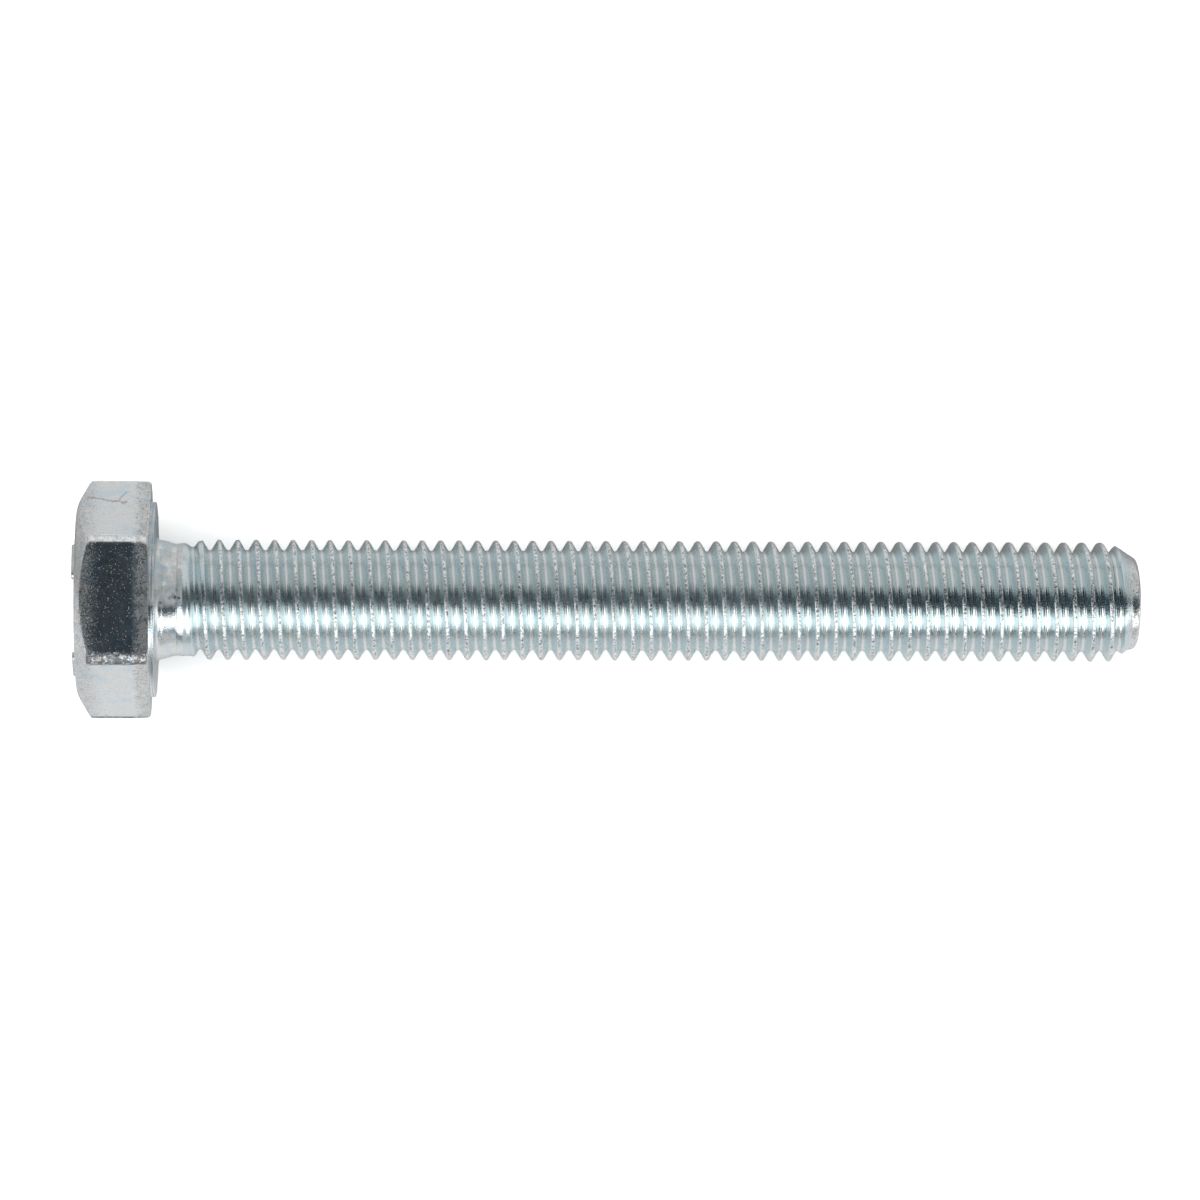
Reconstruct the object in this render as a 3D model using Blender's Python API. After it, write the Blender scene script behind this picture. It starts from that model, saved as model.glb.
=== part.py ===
"""Hex bolt, M10 x 80, threaded up to the head (a hex-head set screw).

The bolt's axis lies along +X, from the head's flat end at the origin to the tip. Two of the six
wrench flats face straight up and down (+Z and -Z), so a pair of corners points along +Y and -Y.

The real bolt is one cold-formed piece of steel. Its named features are separate solids here, split
on planes square to the axis. Each plane's place is worked out once and both neighbours use it, so
they meet face to face with no overlap.

Angles around the axis are measured from +Y towards +Z.
"""

import math

import bmesh
import bpy

MM = 0.001

# Head, a hexagon with a 30 degree chamfer at its end and a round washer face under it
ACROSS_FLATS = 17.0 * MM
HEAD_HEIGHT = 6.4 * MM  # from the flat end to the bearing face
HEAD_CORNER_RADIUS = 1.0 * MM  # along the hexagon's six long edges
HEAD_CHAMFER_ANGLE = math.radians(30.0)
HEAD_CHAMFER_INSET = 0.8 * MM  # from a flat to where the chamfer's cone would meet the flat end
HEAD_END_ROUNDING = 1.8 * MM  # softens the flat end into the chamfer
HEAD_UNDERSIDE_ROUNDING = 0.8 * MM
WASHER_FACE_HEIGHT = 0.4 * MM
WASHER_FACE_INSET = 0.55 * MM  # from a flat to the round step
WASHER_FACE_EDGE = 0.12 * MM  # chamfer around the washer face

# Plain raised bars around the head's end, where a real head has its forged marks
BAR_COUNT = 4
BAR_LENGTH = 3.2 * MM
BAR_WIDTH = 0.9 * MM
BAR_HEIGHT = 0.25 * MM
BAR_DRAFT = 0.12 * MM  # how much each side leans in
BAR_RIM_GAP = 0.75 * MM  # from a bar's outer side to the rim of the flat end
FIRST_BAR_ANGLE = math.radians(60.0)

# Thread, M10 x 1.5, right-handed, with 60 degrees between its flanks
BOLT_LENGTH = 80.0 * MM  # from the bearing face to the tip
THREAD_DIAMETER = 9.8 * MM
THREAD_PITCH = 1.5 * MM
THREAD_CREST_WIDTH = 0.24 * MM
THREAD_ROOT_WIDTH = 0.3 * MM
THREAD_FLANK_ANGLE = math.radians(30.0)
THREAD_RUNOUT = 1.6 * MM  # the thread grows to its full height along this length
FIRST_CREST = 3.5 * MM  # from the bearing face to the first crest on the +Y side

# Neck, the plain stretch between the head and the thread
NECK_STEP = 0.35 * MM  # from the thread's crests down to the neck's surface
NECK_STRAIGHT = 0.5 * MM
NECK_TAPER_LENGTH = 1.2 * MM
NECK_TAPER_RISE = 0.25 * MM  # how much the neck's radius grows towards the head
UNDERHEAD_FILLET = 0.5 * MM

# Chamfered point
POINT_FACE_STEP = 0.52 * MM  # from the thread's roots in to the rim of the point's flat face
POINT_ANGLE = math.radians(33.0)  # between the point's cone and the axis
POINT_FULL_THREAD = 0.17 * MM  # full thread kept at the start of the point

# Fineness of the solids
ROUND_SEGMENTS = 48
THREAD_SEGMENTS = 20
ARC_STEPS = 4
POINT_STEPS = 3  # points along each flank, crest and root of the chamfered point

# Clearances that only keep surfaces from coinciding
BLANK_MARGIN = 0.05 * MM  # the turned head blank stands this far outside the hexagon's corners
PRISM_MARGIN = 1.0 * MM  # the hexagonal prism runs this far past both ends of the blank
SEAT_MARGIN = 0.1 * MM  # clear ring of bearing face around the foot of the fillet
DATUM_SPOT_RADIUS = 1.0 * MM  # small disc at the middle of the head's end

# Radii and heights that follow from the sizes above
CORNER_RADIUS = (ACROSS_FLATS / 2 - HEAD_CORNER_RADIUS) / math.cos(math.pi / 6) + HEAD_CORNER_RADIUS
CHAMFER_CIRCLE_RADIUS = ACROSS_FLATS / 2 - HEAD_CHAMFER_INSET
FLAT_END_RADIUS = CHAMFER_CIRCLE_RADIUS - HEAD_END_ROUNDING * math.tan(HEAD_CHAMFER_ANGLE / 2)
BAR_CIRCLE_RADIUS = FLAT_END_RADIUS - BAR_RIM_GAP - BAR_WIDTH / 2
WASHER_FACE_RADIUS = ACROSS_FLATS / 2 - WASHER_FACE_INSET
CREST_RADIUS = THREAD_DIAMETER / 2
FLANK_RUN = (THREAD_PITCH - THREAD_CREST_WIDTH - THREAD_ROOT_WIDTH) / 2
THREAD_DEPTH = FLANK_RUN / math.tan(THREAD_FLANK_ANGLE)
NECK_RADIUS = CREST_RADIUS - NECK_STEP
NECK_TOP_RADIUS = NECK_RADIUS + NECK_TAPER_RISE
FILLET_FOOT_RADIUS = NECK_TOP_RADIUS + UNDERHEAD_FILLET
POINT_FACE_RADIUS = CREST_RADIUS - THREAD_DEPTH - POINT_FACE_STEP
POINT_CONE_LENGTH = (CREST_RADIUS - POINT_FACE_RADIUS) / math.tan(POINT_ANGLE)

# Places along the axis
UNDERSIDE_X = HEAD_HEIGHT - WASHER_FACE_HEIGHT
BEARING_X = HEAD_HEIGHT
NECK_TAPER_X = BEARING_X + UNDERHEAD_FILLET
THREAD_START_X = NECK_TAPER_X + NECK_TAPER_LENGTH + NECK_STRAIGHT
FIRST_CREST_X = BEARING_X + FIRST_CREST
TIP_X = BEARING_X + BOLT_LENGTH
POINT_START_X = TIP_X - POINT_CONE_LENGTH - POINT_FULL_THREAD


def remove_everything():
    for obj in list(bpy.data.objects):
        bpy.data.objects.remove(obj, do_unlink=True)


def steel(name, colour, roughness):
    """Zinc-plated steel of one shade."""
    material = bpy.data.materials.new(name)
    material.use_nodes = True
    shader = material.node_tree.nodes["Principled BSDF"]
    shader.inputs["Base Color"].default_value = (*colour, 1.0)
    shader.inputs["Metallic"].default_value = 1.0
    shader.inputs["Roughness"].default_value = roughness
    material.diffuse_color = (*colour, 1.0)
    return material


def on_axis(x, radius, angle):
    """The point at this distance from the axis."""
    return (x, radius * math.cos(angle), radius * math.sin(angle))


def arc(centre_x, centre_radius, radius, first, last):
    """Points (x, distance from the axis) along an arc. Angles are measured from +X, outwards."""
    points = []
    for step in range(ARC_STEPS + 1):
        angle = first + (last - first) * step / ARC_STEPS
        points.append((centre_x + radius * math.cos(angle), centre_radius + radius * math.sin(angle)))
    return points


def ease(share):
    """A smooth rise from 0 to 1."""
    share = min(max(share, 0.0), 1.0)
    return share * share * (3.0 - 2.0 * share)


def part_from(bm, name, material, parent):
    """Turns the bmesh into a named part, shaded smooth with its real edges kept sharp."""
    bmesh.ops.recalc_face_normals(bm, faces=bm.faces)
    mesh = bpy.data.meshes.new(name)
    bm.to_mesh(mesh)
    bm.free()
    return part_with(mesh, name, material, parent)


def part_with(mesh, name, material, parent):
    mesh.materials.clear()
    mesh.materials.append(material)
    mesh.shade_smooth()
    mesh.set_sharp_from_angle(angle=math.radians(28.0))
    obj = bpy.data.objects.new(name, mesh)
    obj.parent = parent
    bpy.context.scene.collection.objects.link(obj)
    return obj


def turned(profile):
    """A solid turned around the axis. The profile's points (x, radius) start and end on the axis."""
    bm = bmesh.new()
    points = [bm.verts.new((x, radius, 0.0)) for x, radius in profile]
    edges = [bm.edges.new(pair) for pair in zip(points, points[1:])]
    bmesh.ops.spin(
        bm,
        geom=points + edges,
        axis=(1.0, 0.0, 0.0),
        angle=math.tau,
        steps=ROUND_SEGMENTS,
        use_merge=True,
    )
    bmesh.ops.remove_doubles(bm, verts=bm.verts, dist=0.0001 * MM)
    return bm


def extruded(outline, start_x, end_x):
    """A solid with this outline of (y, z) points, and its points at end_x."""
    bm = bmesh.new()
    base = bm.faces.new([bm.verts.new((start_x, y, z)) for y, z in outline])
    grown = bmesh.ops.extrude_face_region(bm, geom=[base])
    moved = [item for item in grown["geom"] if isinstance(item, bmesh.types.BMVert)]
    bmesh.ops.translate(bm, verts=moved, vec=(end_x - start_x, 0.0, 0.0))
    return bm, moved


def hexagon_outline():
    """The hexagon seen along the axis, with its corners rounded."""
    centre_distance = (ACROSS_FLATS / 2 - HEAD_CORNER_RADIUS) / math.cos(math.pi / 6)
    outline = []
    for corner in range(6):
        direction = corner * math.pi / 3
        for step in range(ARC_STEPS + 1):
            angle = direction + math.pi / 3 * (step / ARC_STEPS - 0.5)
            y = centre_distance * math.cos(direction) + HEAD_CORNER_RADIUS * math.cos(angle)
            z = centre_distance * math.sin(direction) + HEAD_CORNER_RADIUS * math.sin(angle)
            outline.append((y, z))
    return outline


def head_blank_profile():
    """The round blank that gives the head its flat end, its chamfer and its rounded underside."""
    outer = CORNER_RADIUS + BLANK_MARGIN
    end_arc = arc(
        HEAD_END_ROUNDING, FLAT_END_RADIUS, HEAD_END_ROUNDING, math.pi, math.pi - HEAD_CHAMFER_ANGLE
    )
    chamfer_x = (outer - CHAMFER_CIRCLE_RADIUS) * math.tan(HEAD_CHAMFER_ANGLE)
    underside_arc = arc(
        UNDERSIDE_X - HEAD_UNDERSIDE_ROUNDING,
        outer - HEAD_UNDERSIDE_ROUNDING,
        HEAD_UNDERSIDE_ROUNDING,
        math.pi / 2,
        0.0,
    )
    profile = [(0.0, 0.0), (0.0, DATUM_SPOT_RADIUS)]
    profile += end_arc
    profile.append((chamfer_x, outer))
    profile += underside_arc
    profile.append((UNDERSIDE_X, 0.0))
    return profile


def make_hex_head(material, parent):
    """The turned blank, cut to a hexagon: the chamfer meets each flat along a curve."""
    blank = part_from(turned(head_blank_profile()), "head_blank", material, None)
    prism_bmesh, _ = extruded(hexagon_outline(), -PRISM_MARGIN, UNDERSIDE_X + PRISM_MARGIN)
    prism = part_from(prism_bmesh, "hexagon_prism", material, None)
    cut = blank.modifiers.new("hexagon", "BOOLEAN")
    cut.operation = "INTERSECT"
    cut.solver = "EXACT"
    cut.object = prism
    evaluated = blank.evaluated_get(bpy.context.evaluated_depsgraph_get())
    mesh = bpy.data.meshes.new_from_object(evaluated)
    bpy.data.objects.remove(blank)
    bpy.data.objects.remove(prism)
    return part_with(mesh, "hex_head", material, parent)


def make_head_bar(number, material, parent):
    """One plain raised bar with round ends, lying across the radius that it sits on."""
    reach = (BAR_LENGTH - BAR_WIDTH) / 2
    outline = []
    for side in (0, 1):
        for step in range(ARC_STEPS + 1):
            angle = math.pi * (side + step / ARC_STEPS)
            y = BAR_CIRCLE_RADIUS + BAR_WIDTH / 2 * math.cos(angle)
            z = (reach if side == 0 else -reach) + BAR_WIDTH / 2 * math.sin(angle)
            outline.append((y, z))
    bm, outer_ring = extruded(outline, 0.0, -BAR_HEIGHT)
    kept = 1.0 - BAR_DRAFT / (BAR_WIDTH / 2)
    for vertex in outer_ring:
        middle_z = math.copysign(reach, vertex.co.z)
        vertex.co.y = BAR_CIRCLE_RADIUS + (vertex.co.y - BAR_CIRCLE_RADIUS) * kept
        vertex.co.z = middle_z + (vertex.co.z - middle_z) * kept
    obj = part_from(bm, f"head_bar_{number}", material, parent)
    obj.rotation_euler.x = FIRST_BAR_ANGLE + math.tau * (number - 1) / BAR_COUNT
    return obj


def make_washer_face(material, parent):
    """The thin round step under the hexagon that bears on the clamped part."""
    profile = [
        (UNDERSIDE_X, 0.0),
        (UNDERSIDE_X, WASHER_FACE_RADIUS),
        (BEARING_X - WASHER_FACE_EDGE, WASHER_FACE_RADIUS),
        (BEARING_X, WASHER_FACE_RADIUS - WASHER_FACE_EDGE),
        (BEARING_X, FILLET_FOOT_RADIUS + SEAT_MARGIN),
        (BEARING_X, 0.0),
    ]
    return part_from(turned(profile), "washer_face", material, parent)


def make_neck(material, parent):
    """The plain neck: a fillet at the head, then a slight taper down to the thread."""
    profile = [(BEARING_X, 0.0)]
    profile += arc(NECK_TAPER_X, FILLET_FOOT_RADIUS, UNDERHEAD_FILLET, math.pi, 1.5 * math.pi)
    for step in range(1, ARC_STEPS + 1):
        share = step / ARC_STEPS
        x = NECK_TAPER_X + NECK_TAPER_LENGTH * share
        profile.append((x, NECK_TOP_RADIUS - NECK_TAPER_RISE * ease(share)))
    profile.append((THREAD_START_X, NECK_RADIUS))
    profile.append((THREAD_START_X, 0.0))
    return part_from(turned(profile), "plain_neck", material, parent)


def thread_radius(x, angle):
    """How far the thread's surface is from the axis, with its run-out and the point's cone."""
    turns = (x - FIRST_CREST_X) / THREAD_PITCH - angle / math.tau
    from_crest = abs(turns - round(turns)) * THREAD_PITCH
    down_flank = (from_crest - THREAD_CREST_WIDTH / 2) / FLANK_RUN
    full = CREST_RADIUS - THREAD_DEPTH * min(max(down_flank, 0.0), 1.0)
    grown = ease((x - THREAD_START_X) / THREAD_RUNOUT)
    radius = NECK_RADIUS + (full - NECK_RADIUS) * grown
    cone = POINT_FACE_RADIUS + (TIP_X - x) * math.tan(POINT_ANGLE)
    return min(radius, cone)


def thread_offsets(steps):
    """Places along one pitch where the surface has points: crest, flank, root, flank."""
    crest_edge = THREAD_CREST_WIDTH / 2
    root_edge = crest_edge + FLANK_RUN
    corners = [-crest_edge, crest_edge, root_edge, THREAD_PITCH - root_edge, THREAD_PITCH - crest_edge]
    offsets = []
    for first, last in zip(corners, corners[1:]):
        for step in range(steps):
            offsets.append(first + (last - first) * step / steps)
    return offsets


def make_threaded(name, start_x, end_x, steps, material, parent):
    """A threaded solid between two planes.

    Its rows of points follow the helix. Points beyond a plane are moved onto it, where all of one
    column become the same point, so each end closes as a flat face.
    """
    offsets = thread_offsets(steps)
    first_turn = math.floor((start_x - FIRST_CREST_X) / THREAD_PITCH) - 2
    last_turn = math.ceil((end_x - FIRST_CREST_X) / THREAD_PITCH) + 2
    bm = bmesh.new()
    columns = []
    for segment in range(THREAD_SEGMENTS):
        angle = math.tau * segment / THREAD_SEGMENTS
        column = []
        last_x = None
        for turn in range(first_turn, last_turn):
            for offset in offsets:
                along = FIRST_CREST_X + (turn + segment / THREAD_SEGMENTS) * THREAD_PITCH + offset
                x = min(max(along, start_x), end_x)
                if x != last_x:
                    vertex = bm.verts.new(on_axis(x, thread_radius(x, angle), angle))
                column.append(vertex)
                last_x = x
        columns.append(column)
    for segment, column in enumerate(columns):
        beside = columns[(segment + 1) % THREAD_SEGMENTS]
        if segment == THREAD_SEGMENTS - 1:
            # After a full turn the helix has moved on by one pitch.
            beside = beside[len(offsets):] + beside[-1:] * len(offsets)
        for near, far, far_beside, near_beside in zip(column, column[1:], beside[1:], beside):
            corners = list(dict.fromkeys((near, far, far_beside, near_beside)))
            if len(corners) > 2:
                bm.faces.new(corners)
    bm.faces.new([column[0] for column in columns])
    bm.faces.new([column[-1] for column in columns])
    return part_from(bm, name, material, parent)


def main():
    remove_everything()
    bolt = bpy.data.objects.new("hex_bolt", None)
    bpy.context.scene.collection.objects.link(bolt)
    head_zinc = steel("zinc_on_forged_head", (0.66, 0.69, 0.71), 0.34)
    bar_zinc = steel("zinc_on_raised_bars", (0.68, 0.71, 0.73), 0.30)
    washer_zinc = steel("zinc_on_washer_face", (0.70, 0.73, 0.75), 0.24)
    neck_zinc = steel("zinc_on_plain_neck", (0.68, 0.71, 0.72), 0.28)
    thread_zinc = steel("zinc_on_rolled_thread", (0.60, 0.65, 0.67), 0.25)
    point_zinc = steel("zinc_on_cut_point", (0.64, 0.66, 0.70), 0.38)

    make_hex_head(head_zinc, bolt)
    for number in range(1, BAR_COUNT + 1):
        make_head_bar(number, bar_zinc, bolt)
    make_washer_face(washer_zinc, bolt)
    make_neck(neck_zinc, bolt)
    make_threaded("threaded_shank", THREAD_START_X, POINT_START_X, 1, thread_zinc, bolt)
    make_threaded("chamfered_point", POINT_START_X, TIP_X, POINT_STEPS, point_zinc, bolt)


main()
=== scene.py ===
"""Looks of the zinc-plated hex bolt: its finished pieces, their materials, and a plain white table.

The bolt's axis lies along +X, from the middle of the head's end at the origin to the tip. Two
wrench flats face +Z and -Z, and two of the hexagon's corners point along +Y and -Y. Angles around
the axis are measured from +Y towards +Z.
"""

import math

import bpy
from mathutils import Matrix, Vector, noise


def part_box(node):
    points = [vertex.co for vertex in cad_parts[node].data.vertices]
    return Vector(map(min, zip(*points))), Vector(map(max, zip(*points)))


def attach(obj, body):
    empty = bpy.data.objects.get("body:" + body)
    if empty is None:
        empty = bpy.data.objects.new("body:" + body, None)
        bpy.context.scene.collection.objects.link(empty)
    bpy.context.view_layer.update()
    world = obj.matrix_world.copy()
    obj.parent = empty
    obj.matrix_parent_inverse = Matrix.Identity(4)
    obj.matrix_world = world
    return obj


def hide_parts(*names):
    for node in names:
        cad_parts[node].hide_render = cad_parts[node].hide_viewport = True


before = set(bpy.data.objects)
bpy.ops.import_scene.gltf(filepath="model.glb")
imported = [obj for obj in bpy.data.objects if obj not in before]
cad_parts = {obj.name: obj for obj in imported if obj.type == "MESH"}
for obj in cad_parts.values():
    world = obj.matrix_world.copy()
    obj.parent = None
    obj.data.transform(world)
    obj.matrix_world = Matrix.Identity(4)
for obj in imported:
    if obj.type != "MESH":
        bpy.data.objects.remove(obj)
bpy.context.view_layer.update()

MM = 0.001
SHARP_ANGLE = math.radians(50.0)  # faces that meet at more than this are shaded as an edge

# Sizes of the CAD model, which its nodes' boxes give
HEAD_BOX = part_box("hex_head")
WASHER_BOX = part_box("washer_face")
SHANK_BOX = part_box("threaded_shank")
POINT_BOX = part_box("chamfered_point")
HALF_FLATS = HEAD_BOX[1].z
UNDERSIDE_X = HEAD_BOX[1].x
BEARING_X = WASHER_BOX[1].x
WASHER_RADIUS = WASHER_BOX[1].y
THREAD_START_X = SHANK_BOX[0].x
CREST_RADIUS = SHANK_BOX[1].y
POINT_START_X = POINT_BOX[0].x
TIP_X = POINT_BOX[1].x

# Head
HEAD_CORNER_RADIUS = 1.0 * MM
CHAMFER_ANGLE = math.radians(30.0)
CHAMFER_INSET = 0.8 * MM  # from a flat to where the chamfer's cone meets the flat end
END_ROUNDING = 1.8 * MM
UNDERSIDE_ROUNDING = 0.4 * MM
UNDERSIDE_EDGE = 0.12 * MM  # the soft edge between a flat and the underside
BLANK_MARGIN = 0.05 * MM  # the blank that the hexagon was pressed from reached this far past it
ARRIS = 0.22 * MM  # how far the soft edge between chamfer and flat reaches to each side
FORGING_LINE_X = 4.95 * MM  # a faint step runs around the flats here, left by the dies
FORGING_LINE_WIDTH = 0.25 * MM
FORGING_STEP = 0.035 * MM
FORGING_RELIEF = 0.02 * MM  # how uneven the forged faces are
COARSE_LUMPS = 2.4 * MM
FINE_LUMPS = 0.9 * MM
END_RELIEF_SHARE = 0.7  # the flat end is smoother than the flats
FLAT_START = 0.93  # from this share of the way out, a point counts as one of a flat
FLAT_FADE = 0.05

# Raised bars on the head's end
BAR_COUNT = 4
BAR_LENGTH = 3.2 * MM
BAR_WIDTH = 0.9 * MM
BAR_HEIGHT = 0.25 * MM
BAR_EDGE = 0.12 * MM
BAR_DRAFT = 0.03 * MM  # how much narrower a bar gets between its foot and its soft edge
BAR_RELIEF = 0.02 * MM
BAR_SEGMENTS = 40
BAR_RIM_GAP = 0.75 * MM
FIRST_BAR_ANGLE = math.radians(60.0)

# Washer face and neck
TURNED_SEGMENTS = 180
WASHER_EDGE = 0.12 * MM
WASHER_GROOVE = 0.03 * MM  # depth of the fine groove around the washer face
WASHER_GROOVE_WIDTH = 0.05 * MM
WASHER_GROOVE_PLACE = 0.16 * MM  # from the hexagon's underside
WASHER_RELIEF = 0.015 * MM
UNDERHEAD_FILLET = 0.5 * MM
NECK_STEP = 0.35 * MM  # from the thread's crests down to the neck
NECK_TAPER_RISE = 0.25 * MM
NECK_TAPER_LENGTH = 1.2 * MM
NECK_RIDGE = 0.05 * MM  # the low ridge that the rolling dies push up where the thread begins
NECK_RIDGE_WIDTH = 0.3 * MM
NECK_LINE = 0.03 * MM  # depth of the fine line at the foot of the taper
NECK_LINE_WIDTH = 0.06 * MM
NECK_RELIEF = 0.02 * MM
NECK_CALM = 0.6 * MM  # over this length before the thread, the unevenness fades away

# Thread, M10 x 1.5
PITCH = 1.5 * MM
FLANK_ANGLE = math.radians(30.0)
CREST_ROUNDING = 0.22 * MM
ROOT_ROUNDING = 0.22 * MM
FIRST_CREST_X = BEARING_X + 3.57 * MM  # the +Y side has a crest here
GROOVE_START = -0.1 * MM  # from the neck's end to where the groove starts to deepen
GROOVE_RUNOUT = 1.5 * MM
CREST_START = 0.2 * MM  # from the neck's end to where the crests start to rise
CREST_RUNOUT = 1.9 * MM
SEAM_DEPTH = 0.045 * MM  # the fold along a rolled thread's crest
SEAM_WANDER = 0.035 * MM
THREAD_SEGMENTS = 96
TURNS_PAST_END = 2  # so many more turns of points at either end, which all move onto that end
MAP_MARGIN = 0.02  # empty border around each turn on the unrolled thread, as a share of the turn
MAP_DISC = 0.45  # radius of an end face on the unrolled thread, in the same shares

# Point
POINT_FACE_RADIUS = 3.55 * MM
POINT_ANGLE = math.radians(33.0)
LAND_STEP = 0.21 * MM  # how far the point's blunt end stands out past its cone, except on +Y
LAND_ANGLE = math.radians(18.0)
LAND_LENGTH = 0.66 * MM
LAND_DENT = 0.05 * MM  # the shallow ring between the cone and the blunt end
LAND_DENT_WIDTH = 0.12 * MM
POINT_RIM = 0.2 * MM  # rounding of the edge around the end face
POINT_SOFTNESS = 0.14 * MM  # how rounded the last crest is where the cone cuts it

# Fine cracks in the head: start and end along X, Y at the start and slope, in millimetres
CRACKS = ((0.8, 4.25, 8.22, -0.1), (3.35, 4.2, 7.95, 1.0))
CRACK_WANDER = 0.9  # how far they stray from a straight line
CRACK_EDGE = (0.08, 0.02)  # a crack starts at the first distance from its middle, and is full at the second
CRACK_FADE = 0.2  # at both ends they fade out over this length

# Where the finish changes, in millimetres: each pair is where a change starts and where it ends
CORNER_WEAR = (9.44, 9.57)  # distance from the axis
CORNER_SHINE = (9.53, 9.57)  # distance from the axis
END_WEAR = (2.4, 0.4)  # along X, towards the head's end
STRIP_WEAR = (4.6, 5.3)  # along X, towards the head's underside
TO_MINUS_SIDE = (1.0, -1.0)  # along Y
TO_PLUS_SIDE = (-1.0, 1.0)  # along Y
NECK_FROST = (-0.9, 0.1)  # along Y
CREST_BAND = (-0.055, -0.015)  # distance from the axis, counted from the crests
ROOT_BAND = (0.08, 0.03)  # distance from the axis, counted from the roots
POINT_WEAR = (-1.7, -1.2)  # along X, counted from the tip
RIM_WEAR = (-1.5, -0.3)  # along X, counted from the tip

# The thread is duller and smoother up to past its middle than at the tip. Each row is where the
# change starts and ends along X, in millimetres, and the value before and after it.
THREAD_ROUGHNESS = (52.0, 78.0, 0.27, 0.13)
THREAD_SPECKS = (55.0, 80.0, 0.02, 0.22)
THREAD_RELIEF = (60.0, 80.0, 0.35, 0.9)

# Colours of the plating
ZINC_GREY = (0.80, 0.825, 0.825)
ZINC_BLUE = (0.665, 0.785, 0.85)
ZINC_STRAW = (0.76, 0.70, 0.62)
ZINC_BURNISHED = (1.0, 1.0, 1.0)
THREAD_GREY = (0.685, 0.768, 0.775)
THREAD_BLUE = (0.655, 0.758, 0.79)
THREAD_ROOT = (0.79, 0.785, 0.78)
# Painted shade in the hollows of the crest fold's crinkles, and painted glints on their ridges
FOLD_SHADE = (0.22, 0.22, 0.22)
FOLD_GLINT = (1.0, 0.99, 0.98)

# Colours of what dulls it
WORN_GREY = (0.44, 0.42, 0.40)
HEAD_DUST = (0.28, 0.26, 0.25)
NECK_DUST = (0.32, 0.32, 0.33)
THREAD_DUST = (0.42, 0.47, 0.49)
PIT_BROWN = (0.33, 0.31, 0.29)
DENT_GREY = (0.13, 0.13, 0.14)
CRACK_BROWN = (0.34, 0.28, 0.24)
LATHE_GREY = (0.36, 0.42, 0.44)
BLOT_GREY = (0.25, 0.26, 0.27)

# Radii that follow
CORNER_DISTANCE = (HALF_FLATS - HEAD_CORNER_RADIUS) / math.cos(math.pi / 6)
FLANK_SLOPE = 1 / math.tan(FLANK_ANGLE)
SHARP_CREST = CREST_RADIUS + CREST_ROUNDING * (1 / math.sin(FLANK_ANGLE) - 1)
SHARP_ROOT = SHARP_CREST - FLANK_SLOPE * PITCH / 2
ROOT_RADIUS = SHARP_ROOT + ROOT_ROUNDING * (1 / math.sin(FLANK_ANGLE) - 1)
CHAMFER_CIRCLE = HALF_FLATS - CHAMFER_INSET
FLAT_END_RADIUS = CHAMFER_CIRCLE - END_ROUNDING * math.tan(CHAMFER_ANGLE / 2)
NECK_RADIUS = CREST_RADIUS - NECK_STEP
NECK_TOP_RADIUS = NECK_RADIUS + NECK_TAPER_RISE
TAPER_X = BEARING_X + UNDERHEAD_FILLET

# Table
TILT = math.radians(2.7)  # the head's lower flat and the tip both rest on the table
TABLE_DROP = 8.87 * MM  # from the head's end, on the axis, to the table
TABLE_SIZE = 6.0
TABLE_UP = Vector((-math.sin(TILT), 0.0, math.cos(TILT)))
TABLE_SIDES = (-4.0, 4.0)  # in millimetres along Y, where the -Y side's shade changes to the +Y side's
TABLE_FAR = (45.0, 90.0)  # in millimetres from the bolt, where the table gets darker with painted shade far away
TABLE_BESIDE = (0.0, 3.0)  # in millimetres along Y, where the painted shadow strip beside the bolt starts
TABLE_BESIDE_END = (15.0, 5.0)  # and where it ends
TABLE_GRAIN = (0.8, 3.0, 0.5)  # of its noise: lumps in a millimetre, detail and roughness
TABLE_PALE = (0.86, 0.86, 0.87)
TABLE_PALER = (0.90, 0.90, 0.91)
TABLE_SHADED = (0.78, 0.78, 0.79)
# Painted shade on the table far from the bolt, seen only in reflections
TABLE_FAR_SHADE = (0.52, 0.52, 0.53)
# Painted shadow of the bolt on the table, in a strip beside it on the +Y side, seen only in reflections
TABLE_BOLT_SHADOW = (0.38, 0.38, 0.38)
TABLE_WHITE = (1.82, 1.82, 1.82)
TABLE_WHITER = (1.88, 1.88, 1.88)
TABLE_LIGHT = 2.85
CEILING_ANGLE = math.radians(86.0)

# Studio: how bright its lights are
KEY_LIGHT = 2.6
KEY_LIGHT_AT_ENDS = 0.6 * KEY_LIGHT
LOW_SIDE_LIGHT = 0.57
FILL_LIGHT = 0.68
GAP_LIGHT = 0.027
GAP_LIGHT_AT_TIP = 0.085
BACKDROP_LIGHT = 1.5
GAP_COLOUR = (0.72, 1.0, 1.2)

# Studio: where its lights start and are full, in degrees from straight up over to the -Y side
KEY_INNER_EDGE = (22.0, 28.0)
KEY_OUTER_EDGE = (69.0, 63.0)
LOW_SIDE_EDGE = (76.0, 84.0)
FILL_EDGE = (-30.0, -38.0)

# Studio: how that changes along X. Each row is where the change starts and ends, as the X part of
# a direction of length 1, and the value before and after it.
GAP_SWING = (0.0, 0.14, 0.0, 11.0)
OUTER_SLANT = (-0.05, 0.13, 8.0, -8.0)
OUTER_BEND = (0.3, 0.8, 0.0, 25.0)
INNER_SWING = (-0.03, 0.0, 6.0, 0.0)
GAP_GLOW = (-0.03, 0.05, GAP_LIGHT, GAP_LIGHT_AT_TIP)
KEY_FALL = (0.12, 0.55, KEY_LIGHT, KEY_LIGHT_AT_ENDS)
SIDE_FALL = (0.3, 0.85, 1.0, 0.7)

# Camera
AIM_X = 42.5 * MM  # it looks at this place, which is almost on the bolt's axis
AIM_Y = 0.065 * MM
CAMERA_DISTANCE = 450 * MM
CAMERA_ROLL = math.radians(0.16)
LENS = 165.4
SENSOR_WIDTH = 36.0
CLIP_START = 0.05
CLIP_END = 20.0


# ---------------------------------------------------------------- shapes


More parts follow.
